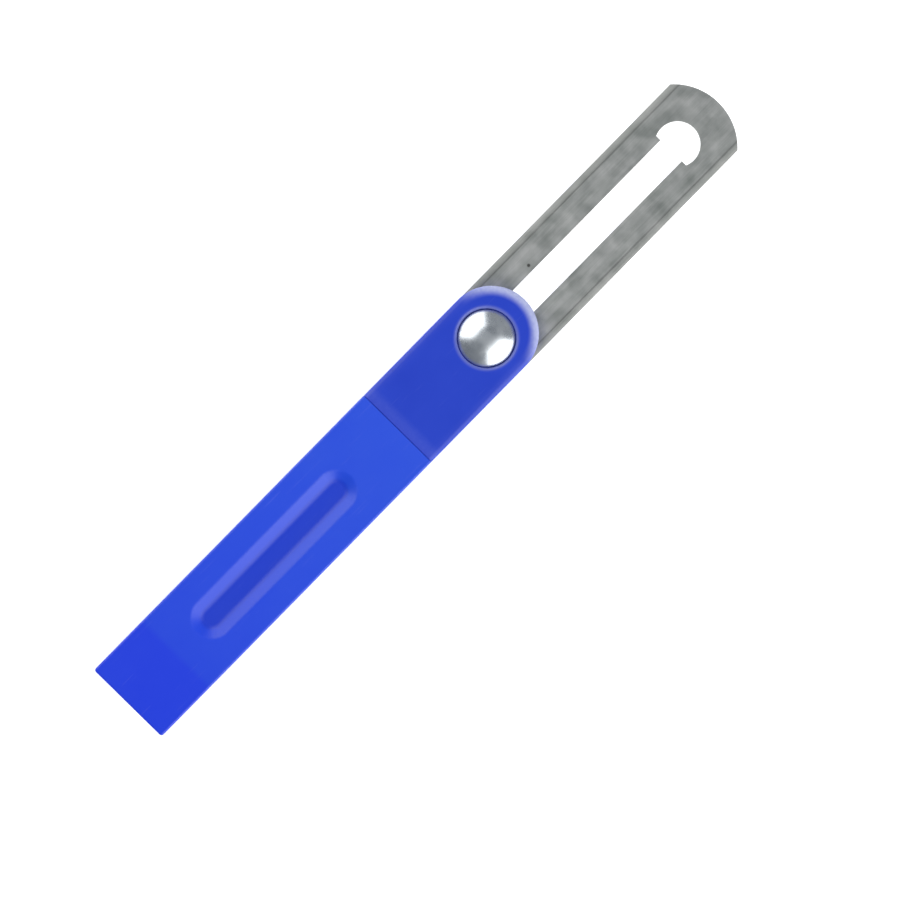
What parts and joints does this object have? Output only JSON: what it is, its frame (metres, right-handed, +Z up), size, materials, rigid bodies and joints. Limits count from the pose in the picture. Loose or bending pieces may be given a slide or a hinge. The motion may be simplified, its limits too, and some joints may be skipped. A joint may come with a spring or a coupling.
{
  "type": "sliding bevel",
  "caption": "Sliding T-bevel with a slotted steel blade that swings and slides in a blue plastic handle and locks with a wing nut under the pivot.",
  "frame": {"origin": "under the middle of the closed tool, in the plane that the ends of the wing nut's ears reach", "axes": "+X along the handle from its butt towards the blade's tip, +Y across the handle, +Z up the pivot bolt out of its domed head"},
  "size_m": [0.226, 0.0254, 0.0287],
  "materials": {
    "grip_plastic": "satin moulded, fine grain",
    "nose_plastic": "satin moulded, a little darker than the grip",
    "blade_steel": "dull, ground along its length",
    "bright_zinc": "bright zinc plate",
    "cast_zinc": "plated, cast surface",
    "screw_steel": "plated"
  },
  "bodies": {
    "handle": {"front_half": "grip_plastic", "back_half": "grip_plastic", "front_nose_cap": "nose_plastic", "back_nose_cap": "nose_plastic", "butt_screws": "screw_steel"},
    "pivot": {"pivot_bolt": "bright_zinc"},
    "blade": {"blade": "blade_steel"},
    "nut_washer": {"washer": "bright_zinc"},
    "wing_nut": {"wing_nut": "cast_zinc"}
  },
  "joints": [
    {"name": "blade_swing", "type": "hinge", "parent": "handle", "child": "pivot", "pos_m": [0.024, 0, 0.019], "axis": [0, 0, 1], "continuous": true},
    {"name": "blade_slide", "type": "slide", "parent": "pivot", "child": "blade", "axis": [1, 0, 0], "range_m": [-0.003, 0.029]},
    {"name": "nut_travel", "type": "slide", "parent": "pivot", "child": "nut_washer", "axis": [0, 0, -1], "range_m": [0, 0.002]},
    {"name": "nut_turn", "type": "hinge", "parent": "nut_washer", "child": "wing_nut", "pos_m": [0.024, 0, 0.0085], "axis": [0, 0, -1], "range_deg": [0, 720]}
  ],
  "couplings": [
    {"joint": "nut_travel", "follows": "nut_turn", "m_per_rad": 0.00015915}
  ]
}
